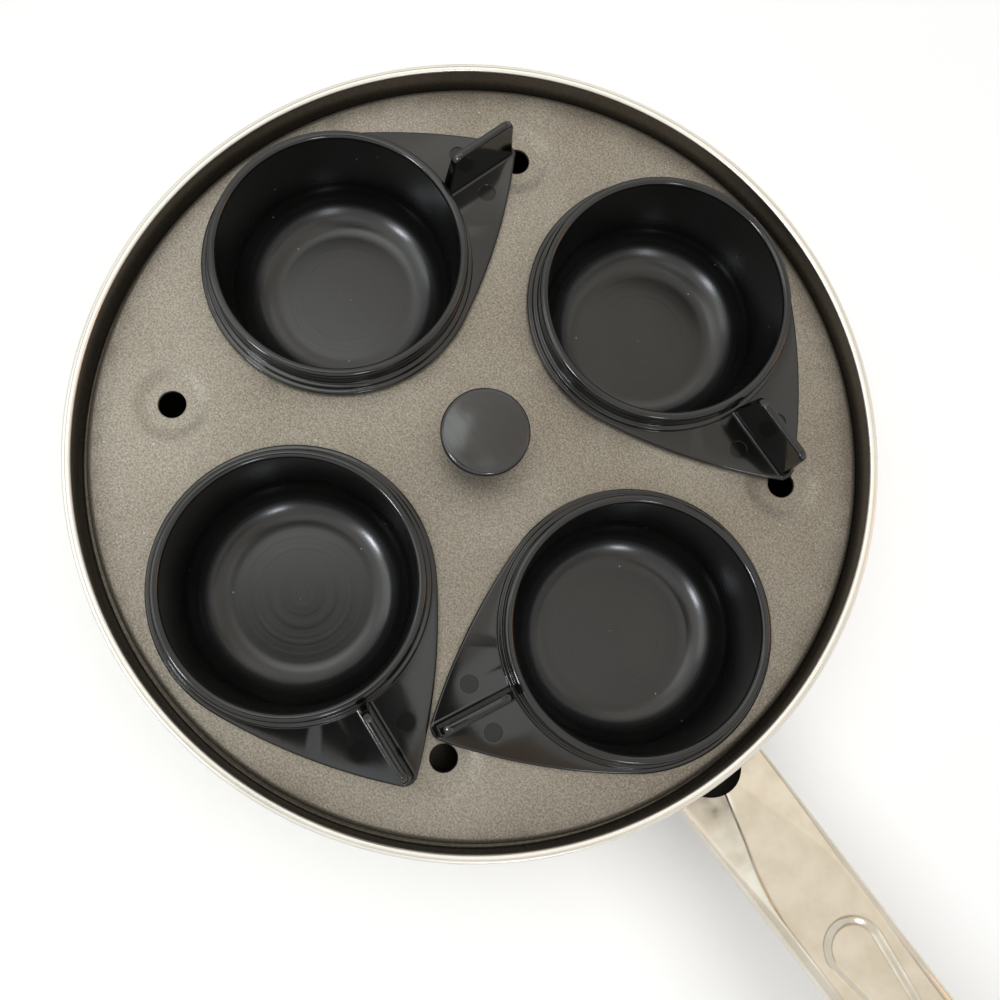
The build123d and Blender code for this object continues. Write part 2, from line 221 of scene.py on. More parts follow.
THUMB_DEPTH = 0.9
HANG_HOLE = 5.0
HANG_HOLE_SEGMENTS = 96
HANDLE_GAP = 0.2
CUTTER_LENGTH = 200.0
WALL_CUTTER_SEGMENTS = 512

# Rivets
RIVET_LEVEL = 27.0
RIVET_RADIUS = 2.4
RIVET_HEAD = 4.2
RIVET_HEAD_HEIGHT = 1.4
RIVET_HEAD_EDGE = 0.3       # upright edge of the head, under its dome
RIVET_DOME_STEPS = 8
RIVET_ANGLE = 4.13
RIVET_INNER_SEAT = 94.75
RIVET_OUTER_SEAT = 98.8

# Studio, with its lengths in metres
DIFFUSE_LEVEL = 0.3         # strength of the surroundings in diffuse light
GLOSSY_LEVEL = 0.85         # the same in reflections
FLOOR_SIZE = 6.0
FLOOR_LEVEL = -0.0002       # just under the pan, so that no two faces share a plane
FLOOR_FADE_NEAR = 0.45      # the floor starts to fade to white this far from the pan
FLOOR_FADE_FAR = 1.6
AIM_LEVEL = 0.05            # height over the floor that the far cards are turned to
EVEN = 90                   # azimuth of the far edge of a card that is the same all over
LENS = 38.9066              # focal length, in millimetres, that fits the photograph's view
SENSOR = 36.0               # its width, in millimetres
CAMERA_PLACE = (0.0378125, -0.0484093, 0.3129994)
CAMERA_TURN = (9.65593, -4.62474, 53.50917)         # degrees about X, Y and Z


def linear(code):
    """Linear colour of an sRGB hex value."""
    parts = [int(code[i:i + 2], 16) / 255 for i in (1, 3, 5)]
    lit = [p / 12.92 if p <= 0.04045 else ((p + 0.055) / 1.055) ** 2.4 for p in parts]
    return (*lit, 1.0)


def add(tree, kind, inputs=None, **settings):
    """Adds a node with its settings, and with each input set or linked."""
    node = tree.nodes.new(kind)
    for name, value in settings.items():
        setattr(node, name, value)
    for key, value in (inputs or {}).items():
        sources = value if isinstance(value, list) else [value]
        if isinstance(sources[0], bpy.types.NodeSocket):
            for source in sources:
                tree.links.new(source, node.inputs[key])
        else:
            node.inputs[key].default_value = value
    return node


# Geometry helpers

def place_at(x, y, z, turn=0.0):
    """Place in millimetres, turned about Z by degrees."""
    return Matrix.Translation(Vector((x, y, z)) * MM) @ Matrix.Rotation(radians(turn), 4, "Z")


def smooth_share(value):
    """Eased step from 0 to 1."""
    value = min(1.0, max(0.0, value))
    return value * value * (3 - 2 * value)


def soft_ramp(value, blend):
    """The larger of 0 and the value, with the bend rounded over a blend on either side."""
    if abs(value) >= blend:
        return max(0.0, value)
    return (value + blend) ** 2 / (4 * blend)


def arc(centre, radius, start, end, count):
    """Points along an arc, both ends included."""
    angles = [start + (end - start) * index / count for index in range(count + 1)]
    return [(centre[0] + radius * cos(a), centre[1] + radius * sin(a)) for a in angles]


def rounded_path(corners):
    """Open profile through (radius, height, rounding) corners, long runs cut in pieces."""
    points = [corners[0][:2]]
    for before, here, after in zip(corners, corners[1:], corners[2:]):
        middle = Vector(here[:2])
        back = (Vector(before[:2]) - middle).normalized()
        ahead = (Vector(after[:2]) - middle).normalized()
        if here[2] == 0:
            points.append(here[:2])
            continue
        half = back.angle(ahead) / 2
        centre = middle + (back + ahead).normalized() * here[2] / sin(half)
        first = middle + back * here[2] / tan(half) - centre
        last = middle + ahead * here[2] / tan(half) - centre
        start = atan2(first.y, first.x)
        turn = (atan2(last.y, last.x) - start + pi) % (2 * pi) - pi
        step = min(SHARP_STEP, max(SOFT_STEP, sqrt(8 * ARC_SAG / here[2])))
        points += arc(centre, here[2], start, start + turn, max(2, ceil(abs(turn) / step)))
    points.append(corners[-1][:2])
    path = [points[0]]
    for (r0, z0), (r1, z1) in zip(points, points[1:]):
        run = hypot(r1 - r0, z1 - z0)
        if run < NEARLY_NOTHING:
            continue
        strip = EDGE_STRIP / run
        shares = [strip, 1 - strip, 1.0] if run > 4 * EDGE_STRIP else [1.0]
        path += [(r0 + (r1 - r0) * share, z0 + (z1 - z0) * share) for share in shares]
    return path


def line_mesh(name, points):
    """Mesh of one open chain of edges."""
    mesh = bpy.data.meshes.new(name)
    mesh.from_pydata(points, [(i, i + 1) for i in range(len(points) - 1)], [])
    return mesh


def new_tree(name, inputs):
    """Geometry node tree with a Geometry input, the named inputs and a Material input."""
    tree = bpy.data.node_groups.new(name, "GeometryNodeTree")
    for title, kind in {"Geometry": "Geometry", **inputs, "Material": "Material"}.items():
        tree.interface.new_socket(title, in_out="INPUT", socket_type="NodeSocket" + kind)
    tree.interface.new_socket("Geometry", in_out="OUTPUT", socket_type="NodeSocketGeometry")
    return tree, add(tree, "NodeGroupInput").outputs


def end_tree(tree, given, geometry):
    """Ends a tree with real geometry, welded seams and one material."""
    real = add(tree, "GeometryNodeRealizeInstances", {"Geometry": geometry})
    welded = add(tree, "GeometryNodeMergeByDistance",
                 {"Geometry": real.outputs["Geometry"], "Distance": WELD})
    finished = add(tree, "GeometryNodeSetMaterial",
                   {"Geometry": welded.outputs["Geometry"], "Material": given["Material"]})
    add(tree, "NodeGroupOutput", {"Geometry": finished.outputs["Geometry"]})
    return tree


def ring_of_copies(tree, instance, count, radius, first, step, follow):
    """Instances round Z; with follow at 1 each is turned to its own angle, at 0 not."""
    index = add(tree, "GeometryNodeInputIndex").outputs["Index"]
    angle = add(tree, "ShaderNodeMath", {0: index, 1: step, 2: first}, operation="MULTIPLY_ADD").outputs[0]
    flat = [add(tree, "ShaderNodeMath", {0: angle}, operation=kind).outputs[0] for kind in ("COSINE", "SINE")]
    ahead = add(tree, "ShaderNodeCombineXYZ", {"X": flat[0], "Y": flat[1]}).outputs[0]
    spot = add(tree, "ShaderNodeVectorMath", {0: ahead, "Scale": radius}, operation="SCALE").outputs[0]
    turn = add(tree, "ShaderNodeMath", {0: angle, 1: follow}, operation="MULTIPLY").outputs[0]
    turned = add(tree, "ShaderNodeCombineXYZ", {"Z": turn}).outputs[0]
    points = add(tree, "GeometryNodePoints", {"Count": count, "Position": spot}).outputs[0]
    copies = add(tree, "GeometryNodeInstanceOnPoints",
                 {"Points": points, "Instance": instance, "Rotation": turned})
    return copies.outputs["Instances"]


def turned_form_tree():
    """Turns a profile once round Z. The profile lies Axis Radius nearer than it is drawn."""
    tree, given = new_tree("turned_form", {"Segments": "Int", "Axis Radius": "Float"})
    profile = add(tree, "GeometryNodeMeshToCurve", {"Mesh": given["Geometry"]}).outputs["Curve"]
    circle = add(tree, "GeometryNodeCurvePrimitiveCircle",
                 {"Resolution": given["Segments"], "Radius": given["Axis Radius"]}).outputs["Curve"]
    skin = add(tree, "GeometryNodeCurveToMesh", {"Curve": circle, "Profile Curve": profile})
    return end_tree(tree, given, skin.outputs["Mesh"])


def copies_tree():
    """Repeats a mesh round Z."""
    tree, given = new_tree("copies_round_axis", {
        "Count": "Int", "Radius": "Float", "First Angle": "Float", "Step Angle": "Float", "Follow": "Float",
    })
    copies = ring_of_copies(tree, given["Geometry"], given["Count"], given["Radius"],
                            given["First Angle"], given["Step Angle"], given["Follow"])
    return end_tree(tree, given, copies)


def perforated_sheet_tree():
    """Round sheet with a middle hole and two rings of holes, filled between its outlines."""
    tree, given = new_tree("perforated_sheet", {
        "Level": "Float", "Rim Radius": "Float", "Rim Segments": "Int", "Middle Radius": "Float",
        "Hole Segments": "Int", "Ring Count": "Int", "Hole Radius": "Float", "Hole Ring": "Float",
        "Vent Radius": "Float", "Vent Ring": "Float", "Vent First Angle": "Float", "Step Angle": "Float",
    })
    circles = [
        add(tree, "GeometryNodeCurvePrimitiveCircle", {"Resolution": given[count], "Radius": given[radius]})
        for radius, count in (("Rim Radius", "Rim Segments"), ("Middle Radius", "Hole Segments"),
                              ("Hole Radius", "Hole Segments"), ("Vent Radius", "Hole Segments"))
    ]
    rim, middle, hole, vent = [circle.outputs["Curve"] for circle in circles]
    holes = ring_of_copies(tree, hole, given["Ring Count"], given["Hole Ring"], 0.0, given["Step Angle"], 0.0)
    vents = ring_of_copies(tree, vent, given["Ring Count"], given["Vent Ring"],
                           given["Vent First Angle"], given["Step Angle"], 0.0)
    outlines = add(tree, "GeometryNodeJoinGeometry", {"Geometry": [rim, middle, holes, vents]})
    real = add(tree, "GeometryNodeRealizeInstances", {"Geometry": outlines.outputs["Geometry"]})
    sheet = add(tree, "GeometryNodeFillCurve", {"Curve": real.outputs["Geometry"]}).outputs["Mesh"]
    height = add(tree, "ShaderNodeCombineXYZ", {"Z": given["Level"]}).outputs[0]
    moved = add(tree, "GeometryNodeTransform", {"Geometry": sheet, "Translation": height})
    return end_tree(tree, given, moved.outputs["Geometry"])


TURNED_FORM = turned_form_tree()
COPIES = copies_tree()
PERFORATED_SHEET = perforated_sheet_tree()


def grow(tree, source, values):
    """Plain mesh made from a source mesh by a node tree with the given inputs."""
    holder = bpy.data.objects.new(tree.name, source)
    bpy.context.scene.collection.objects.link(holder)
    modifier = holder.modifiers.new(tree.name, "NODES")
    modifier.node_group = tree
    for item in tree.interface.items_tree:
        if item.in_out == "INPUT" and item.name in values:
            modifier[item.identifier] = values[item.name]
    seen = holder.evaluated_get(bpy.context.evaluated_depsgraph_get())
    mesh = bpy.data.meshes.new_from_object(seen)
    bpy.data.objects.remove(holder)
    return mesh


def turned(name, profile, segments, material):
    """Form turned about Z from a (radius, height) profile in millimetres."""
    points = [((r - AXIS_RADIUS) * MM, -z * MM, 0.0) for r, z in profile]
    return grow(TURNED_FORM, line_mesh(name, points),
                {"Segments": segments, "Axis Radius": AXIS_RADIUS * MM, "Material": material})


def copied(mesh, count, radius, first, step, follow, material):
    """Copies of a mesh round Z, from a first angle on in degrees."""
    return grow(COPIES, mesh, {
        "Count": count, "Radius": radius * MM, "First Angle": radians(first),
        "Step Angle": radians(step), "Follow": follow, "Material": material,
    })


def skin_loops(loops, closed_ends=False):
    """Mesh of a skin over closed loops of equally many (x, y, z) points in millimetres."""
    count = len(loops[0])
    points = [(x * MM, y * MM, z * MM) for loop in loops for x, y, z in loop]
    faces = [
        (row * count + i, row * count + (i + 1) % count,
         (row + 1) * count + (i + 1) % count, (row + 1) * count + i)
        for row in range(len(loops) - 1) for i in range(count)
    ]
    if closed_ends:
        faces.append(tuple(range(count)))
        faces.append(tuple(range(len(points) - count, len(points))))
    mesh = bpy.data.meshes.new("skin")
    mesh.from_pydata(points, [], faces)
    return mesh


def filled_sheet(outline, holes, level):
    """Flat mesh between an outline and the holes in it, at a height in millimetres."""
    points, loops = [], []
    for loop in [outline, *holes]:
        loops.append(list(range(len(points), len(points) + len(loop))))
        points += [Vector(point) for point in loop]
    points, _, faces = delaunay_2d_cdt(points, [], loops, 2, NEARLY_NOTHING)[:3]
    mesh = bpy.data.meshes.new("sheet")
    mesh.from_pydata([(x * MM, y * MM, level * MM) for x, y in points], [], faces)
    return mesh


def joined(name, meshes, *materials):
    """One mesh from several: seams welded, normals outwards, sharp bends shaded sharp."""
    form = bmesh.new()
    for mesh in meshes:
        form.from_mesh(mesh)
    bmesh.ops.remove_doubles(form, verts=form.verts, dist=WELD)
    bmesh.ops.recalc_face_normals(form, faces=form.faces)
    mesh = bpy.data.meshes.new(name)
    form.to_mesh(mesh)
    form.free()
    mesh.materials.clear()
    for material in materials:
        mesh.materials.append(material)
    mesh.shade_smooth()
    mesh.set_sharp_from_angle(angle=SHARP_ANGLE)
    return mesh


def settle(mesh, place, body, *nodes):
    """Puts a finished mesh on its body in place of CAD nodes."""
    mesh.transform(place)
    piece = bpy.data.objects.new(mesh.name, mesh)
    bpy.context.scene.collection.objects.link(piece)
    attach(piece, body)
    if nodes:
        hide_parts(*nodes)
    return piece


# Finishes

def new_finish(name, color, roughness, metallic=0.0):
    """Material with a Principled shader; also gives its tree, shader and Object coordinates."""
    material = bpy.data.materials.new(name)
    material.use_nodes = True
    tree = material.node_tree
    tree.nodes.clear()
    shader = add(tree, "ShaderNodeBsdfPrincipled",
                 {"Base Color": linear(color), "Roughness": roughness, "Metallic": metallic})
    add(tree, "ShaderNodeOutputMaterial", {"Surface": shader.outputs["BSDF"]})
    place = add(tree, "ShaderNodeTexCoord").outputs["Object"]
    return material, tree, shader, place


def cloud(tree, place, size, detail=3.0, roughness=0.5):
    """Soft noise from 0 to 1 with features of about a size in millimetres."""
    return add(tree, "ShaderNodeTexNoise", {
        "Vector": place, "Scale": 1 / (size * MM), "Detail": detail, "Roughness": roughness,
    }).outputs["Fac"]


def spread(tree, value, low, high, start, end):
    """Value between low and high drawn out to run from start to end, and held there."""
    return add(tree, "ShaderNodeMapRange", {
        "Value": value, "From Min": low, "From Max": high, "To Min": start, "To Max": end,
    }).outputs["Result"]


def blend(tree, share, first, second):
    """Colour between two, each a hex value or a socket."""
    node = add(tree, "ShaderNodeMix", data_type="RGBA")
    tree.links.new(share, node.inputs[0])
    for key, color in ((6, first), (7, second)):
        if isinstance(color, str):
            node.inputs[key].default_value = linear(color)
        else:
            tree.links.new(color, node.inputs[key])
    return node.outputs[2]


def relief(tree, shader, height, distance, strength=1.0):
    """Raises the surface by a height from 0 to 1 times a distance in millimetres."""
    bump = add(tree, "ShaderNodeBump", {"Height": height, "Distance": distance * MM, "Strength": strength})
    tree.links.new(bump.outputs["Normal"], shader.inputs["Normal"])


def distance_from(tree, place, centre):
    """Distance in metres from an upright axis through a centre given in metres."""
    moved = add(tree, "ShaderNodeMapping", {"Vector": place, "Location": (-centre[0], -centre[1], 0)})
    flat = add(tree, "ShaderNodeVectorMath", {0: moved.outputs[0], 1: (1, 1, 0)}, operation="MULTIPLY")
    return add(tree, "ShaderNodeVectorMath", {0: flat.outputs[0]}, operation="LENGTH").outputs["Value"]


def turned_lines(tree, distance, size, detail=4.0):
    """Noise that changes only with a distance: the lines that a lathe leaves."""
    line = add(tree, "ShaderNodeTexNoise",
               {"W": distance, "Scale": 1 / (size * MM), "Detail": detail}, noise_dimensions="1D")
    return line.outputs["Fac"]


def rim_aluminium():
    """Bare aluminium of the rim and outside: bright, with fine lines turned round the pan.
    The lines are drawn coarser than real ones so that they still show."""
    material, tree, shader, place = new_finish("turned_bare_aluminium", "#e9e6dd", 0.3, 0.85)
    lines = turned_lines(tree, distance_from(tree, place, (0, 0)), 0.5)
    tint = spread(tree, lines, 0.35, 0.65, 0.0, 1.0)
    tree.links.new(blend(tree, tint, "#d6d2c7", "#f5f3ec"), shader.inputs["Base Color"])
    tree.links.new(spread(tree, cloud(tree, place, 22), 0.3, 0.7, 0.24, 0.38), shader.inputs["Roughness"])
    relief(tree, shader, lines, 0.02, 0.5)
    return material


def inner_coating():
    """Non-stick inside the pan: grey-brown, satin, with a fine speckle."""
    material, tree, shader, place = new_finish("grey_brown_pan_coating", "#5a544a", 0.24, 0.65)
    grain = spread(tree, cloud(tree, place, 0.6, 2.0), 0.35, 0.65, 0.0, 1.0)
    tree.links.new(blend(tree, grain, "#514b42", "#665f54"), shader.inputs["Base Color"])
    relief(tree, shader, grain, 0.015, 0.4)
    return material


def tray_coating():
    """Warm grey metallic non-stick on the tray: satin, with a fine grain, soft clouds
    and a few pale specks. The grain is drawn a little coarser than it is."""
    material, tree, shader, place = new_finish("grey_metallic_nonstick", "#928b7e", 0.4, 0.8)
    grain = spread(tree, cloud(tree, place, 0.48, 2.5, 0.7), 0.34, 0.66, 0.0, 1.0)
    soft = spread(tree, cloud(tree, place, 38, 2.0), 0.35, 0.65, 0.0, 1.0)
    ground = blend(tree, soft, "#6f685c", "#7a7468")
    pale = blend(tree, soft, "#9c9589", "#a6a095")
    base = blend(tree, grain, ground, pale)
    cells = add(tree, "ShaderNodeTexVoronoi", {"Vector": place, "Scale": 1 / (4.2 * MM)})
    specks = spread(tree, cells.outputs["Distance"], 0.05, 0.032, 0.0, 0.6)
    tree.links.new(blend(tree, specks, base, "#e6e0d4"), shader.inputs["Base Color"])
    tree.links.new(spread(tree, grain, 0.0, 1.0, 0.47, 0.38), shader.inputs["Roughness"])
    relief(tree, shader, grain, 0.045, 0.6)
    return material


def cup_plastic():
    """Black moulded plastic of the cups: satin in the bowl and glossy outside it, with a
    slight cloudiness, a ring and faint lines turned on the bowl's floor, a few white specks
    and duller mould marks. All but the cloudiness follow the cup's own coordinates."""
    material, tree, shader, place = new_finish("black_moulded_plastic", "#0d0e0d", 0.2)
    shader.inputs["IOR"].default_value = 1.6
    own = add(tree, "ShaderNodeAttribute", attribute_name="cup_local").outputs["Vector"]
    reach = distance_from(tree, own, (0, 0))
    lines = turned_lines(tree, reach, 1.6)
    soft = spread(tree, cloud(tree, place, 14), 0.35, 0.65, 0.0, 1.0)
    base = blend(tree, soft, "#0b0c0b", "#131412")
    cells = add(tree, "ShaderNodeTexVoronoi", {"Vector": own, "Scale": 1 / (6.5 * MM)})
    specks = spread(tree, cells.outputs["Distance"], 0.04, 0.025, 0.0, 0.4)
    tree.links.new(blend(tree, specks, base, "#c9cac4"), shader.inputs["Base Color"])
    satin = spread(tree, lines, 0.35, 0.65, 0.2, 0.28)
    glossy = spread(tree, reach, SATIN_REACH[0] * MM, SATIN_REACH[1] * MM, 0.0, 1.0)
    rough = add(tree, "ShaderNodeMix", {0: glossy, 2: satin, 3: GLOSSY_ROUGHNESS}).outputs[0]
    tree.links.new(rough, shader.inputs["Roughness"])
    marks = [distance_from(tree, own, (PIN_REACH * MM, side * PIN_OFFSET * MM)) for side in (-1, 1)]
    nearest = add(tree, "ShaderNodeMath", {0: marks[0], 1: marks[1]}, operation="MINIMUM").outputs[0]
    dull = spread(tree, nearest, PIN_DULL_REACH[0] * MM, PIN_DULL_REACH[1] * MM, 0.3, 0.5)
    tree.links.new(dull, shader.inputs["Specular IOR Level"])
    on_ring = add(tree, "ShaderNodeMath", {0: reach, 1: RING_RADIUS * MM, 2: RING_HALF * MM},
                  operation="COMPARE").outputs[0]
    height = add(tree, "ShaderNodeMath", {0: on_ring, 1: 0.5, 2: cloud(tree, place, 0.9, 2.0)},
                 operation="MULTIPLY_ADD").outputs[0]
    relief(tree, shader, height, 0.012, 0.35)
    return material


def knob_plastic():
    """Glossy black plastic of the knob, with faint scuffs from lifting."""
    material, tree, shader, place = new_finish("glossy_black_plastic", "#101010", 0.1)
    shader.inputs["IOR"].default_value = 1.75
    scuffs = add(tree, "ShaderNodeMapping", {"Vector": place, "Scale": (1.0, 6.0, 1.0)}).outputs[0]
    tree.links.new(spread(tree, cloud(tree, scuffs, 6), 0.4, 0.7, 0.13, 0.24), shader.inputs["Roughness"])
    return material


def handle_steel():
    """Polished steel of the handle: a slightly wavy mirror with a soft cloudiness."""
    material, tree, shader, place = new_finish("polished_steel", "#d8d0c0", 0.12, 1.0)
    soft = spread(tree, cloud(tree, place, 7), 0.35, 0.65, 0.0, 1.0)
    tree.links.new(blend(tree, soft, "#d3cab8", "#ded6c6"), shader.inputs["Base Color"])
    tree.links.new(spread(tree, cloud(tree, place, 4), 0.3, 0.7, 0.08, 0.2), shader.inputs["Roughness"])
    relief(tree, shader, cloud(tree, place, 5, 1.0), 0.03, 0.25)
    return material


def bracket_steel():
    """Pressed steel of the bracket, with traces of the sheet's brushing along its length.
    Its near-black colour is painted shade, so that the handle's notch shows as dark as deep shade."""
    # near-black base colours: painted shade for the handle's notch, not the steel's own colour
    material, tree, shader, place = new_finish("bracket_steel_dark_as_notch_shade", "#191715", 0.5, 0.5)
    drawn = add(tree, "ShaderNodeMapping", {"Vector": place, "Scale": (0.05, 1.0, 1.0)}).outputs[0]
    lines = cloud(tree, drawn, 0.4)
    tree.links.new(blend(tree, cloud(tree, place, 3), "#141210", "#221f1c"), shader.inputs["Base Color"])
    tree.links.new(spread(tree, lines, 0.3, 0.7, 0.42, 0.6), shader.inputs["Roughness"])
    relief(tree, shader, lines, 0.01, 0.4)
    return material


def rivet_aluminium():
    """Satin aluminium of the rivets, with soft hammer marks."""
    material, tree, shader, place = new_finish("satin_rivet_aluminium", "#c9c7c2", 0.34, 1.0)
    marks = cloud(tree, place, 1.2)
    relief(tree, shader, marks, 0.06, 0.5)
    tree.links.new(spread(tree, marks, 0.3, 0.7, 0.28, 0.42), shader.inputs["Roughness"])
    return material


def turned_brass():
    """Turned brass of the insert: yellow, with fine lines round its axis."""
    material, tree, shader, place = new_finish("turned_brass", "#c8a45a", 0.3, 1.0)
    lines = turned_lines(tree, distance_from(tree, place, (0, TRAY_SHIFT * MM)), 0.3)
    relief(tree, shader, lines, 0.01, 0.5)
    tree.links.new(spread(tree, lines, 0.3, 0.7, 0.25, 0.38), shader.inputs["Roughness"])
    return material


def zinc_plated_steel():
    """Zinc plated steel of the screw and washer: pale, with blotchy shine."""
    material, tree, shader, place = new_finish("zinc_plated_steel", "#b9bbbc", 0.32, 1.0)
    soft = cloud(tree, place, 1.5)
    tree.links.new(blend(tree, soft, "#a9abad", "#c6c8c8"), shader.inputs["Base Color"])
    tree.links.new(spread(tree, soft, 0.3, 0.7, 0.26, 0.42), shader.inputs["Roughness"])
    return material


RIM_METAL = rim_aluminium()
INNER_COATING = inner_coating()
TRAY_COATING = tray_coating()
CUP_PLASTIC = cup_plastic()
KNOB_PLASTIC = knob_plastic()
HANDLE_STEEL = handle_steel()
RIVET_METAL = rivet_aluminium()


# Pan

def pan_shell():
    """Drawn shell: base with turned rings, wall with the tray's ledge, grooved rim."""
    groove = (RIM_RADIUS + RIM_OUTER_RADIUS) / 2
    lower_outer = PAN_LOWER_RADIUS + PAN_WALL
    step_under = LEDGE_LEVEL - PAN_WALL
    inside = [
        (0, PAN_BASE, 0),
        (PAN_LOWER_RADIUS, PAN_BASE, PAN_BASE_ROUND - PAN_WALL),
        (PAN_LOWER_RADIUS, LEDGE_LEVEL, LEDGE_ROUND),
        (RIM_RADIUS, LEDGE_LEVEL, LEDGE_CORNER),
        (RIM_RADIUS, PAN_HEIGHT, RIM_ROUND),
        (groove - RIM_GROOVE / 2, PAN_HEIGHT, 0),
        (groove - RIM_GROOVE / 2, PAN_HEIGHT - RIM_GROOVE_DEPTH, 0),
        (groove + RIM_GROOVE / 2, PAN_HEIGHT - RIM_GROOVE_DEPTH, 0),
        (groove + RIM_GROOVE / 2, PAN_HEIGHT, 0),
        (RIM_OUTER_RADIUS, PAN_HEIGHT, RIM_ROUND),
        (RIM_OUTER_RADIUS, step_under, LEDGE_ROUND),
        (lower_outer, step_under, LEDGE_ROUND),
        (lower_outer, 0, PAN_BASE_ROUND),
    ]
    for number in range(BASE_RING_COUNT, 0, -1):
        middle = number * BASE_RING_PITCH
        for edge in (BASE_RING_HALF, -BASE_RING_HALF):
            low, high = (middle + edge, 0, 0), (middle + edge, BASE_RING_DEPTH, 0)
            inside += [low, high] if edge > 0 else [high, low]
    profile = rounded_path(inside + [(0, 0, 0)])
    shell = turned("pan_shell", profile, BIG_SEGMENTS, RIM_METAL)
    form = joined("pan_drawn_shell", [shell], RIM_METAL, INNER_COATING)
    for face in form.polygons:
        r, z = hypot(*face.center[:2]) / MM, face.center.z / MM
        outward = face.normal.to_2d().dot(face.center.to_2d().normalized())
        looks_in = outward < 0.05 and face.normal.z > -0.5
        if looks_in and r < RIM_RADIUS + COATING_MARGIN and z < PAN_HEIGHT - COATING_END:
            face.material_index = 1
    settle(form, Matrix(), "pan", "pan_shell")


def rivets():
    """Two rivets with domed heads, each turned to the rivet's axis through the wall."""
    half_run = (RIVET_OUTER_SEAT - RIVET_INNER_SEAT) / 2
    dome = RIVET_HEAD_HEIGHT - RIVET_HEAD_EDGE
    radius = (RIVET_HEAD**2 + dome**2) / (2 * dome)
    spread_angle = atan2(RIVET_HEAD, radius - dome)
    top = half_run + RIVET_HEAD_HEIGHT
    upper = arc((0, top - radius), radius, pi / 2, pi / 2 - spread_angle, RIVET_DOME_STEPS)
    upper += [(RIVET_HEAD, half_run), (RIVET_RADIUS, half_run), (RIVET_RADIUS, 0)]
    lower = [(r, -z) for r, z in reversed(upper[:-1])]
    upright = turned("rivet", upper + lower, SMALL_SEGMENTS, RIVET_METAL)
    middle = (RIVET_OUTER_SEAT + RIVET_INNER_SEAT) / 2
    lying = Matrix.Translation((middle * MM, 0, RIVET_LEVEL * MM)) @ Matrix.Rotation(pi / 2, 4, "Y")
    upright.transform(lying)
    pair = copied(upright, 2, 0.0, -RIVET_ANGLE, 2 * RIVET_ANGLE, 1.0, RIVET_METAL)
    settle(joined("bracket_rivet_pair", [pair], RIVET_METAL), Matrix(), "pan", "bracket_rivets")


# Handle

def crease_at(x):
    """Distance of the crease from the handle's middle line, x millimetres from the wall."""
    last = len(CREASE_LINE) - 3
    index = max([1] + [i for i in range(1, last + 1) if CREASE_LINE[i][0] <= x])
    (xa, ya), (xb, yb), (xc, yc), (xd, yd) = CREASE_LINE[index - 1:index + 3]
    share = (x - xb) / (xc - xb)
    first = (yc - ya) / (xc - xa) * (xc - xb)
    second = (yd - yb) / (xd - xb) * (xc - xb)
    cube, square = share**3, share**2
    return (yb * (2 * cube - 3 * square + 1) + first * (cube - 2 * square + share)
            + yc * (3 * square - 2 * cube) + second * (cube - square))


def thumb_inset(x, y):
    """How far a point lies inside the thumb rest's mouth; negative outside it."""
    span = THUMB_FAR - THUMB_NEAR
    narrowing = (THUMB_RADIUS - THUMB_END_RADIUS) / span
    across, along = abs(y), x - THUMB_NEAR
    straight = sqrt(1 - narrowing**2)
    measure = straight * along - narrowing * across
    if measure < 0:
        return THUMB_RADIUS - hypot(across, along)
    if measure > straight * span:
        return THUMB_END_RADIUS - hypot(across, along - span)
    return THUMB_RADIUS - (straight * across + narrowing * along)


def handle_drop(x, y, inset):
    """How far the outer surface lies below the flat top, inset millimetres from the side."""
    blend_run = CREASE_BLEND * CREASE_SLOPE
    flank = soft_ramp(CREASE_SLOPE * (abs(y) - crease_at(x)), blend_run) if x < CREASE_REACH else 0.0
    roll = HANDLE_ROUND - sqrt(HANDLE_ROUND**2 - max(0.0, HANDLE_ROUND - inset) ** 2)
    thumb = THUMB_DEPTH * smooth_share(thumb_inset(x, y) / THUMB_SLOPE)
    return (flank**BEND_POWER + roll**BEND_POWER) ** (1 / BEND_POWER) + thumb


def skirt_drop(x):
    """How far the side skirts reach down."""
    slope = (HANDLE_ROOT_DEPTH - HANDLE_DEPTH) / SKIRT_REACH
    return min(HANDLE_ROOT_DEPTH, HANDLE_DEPTH + soft_ramp(slope * (SKIRT_REACH - x), slope * SKIRT_BLEND))


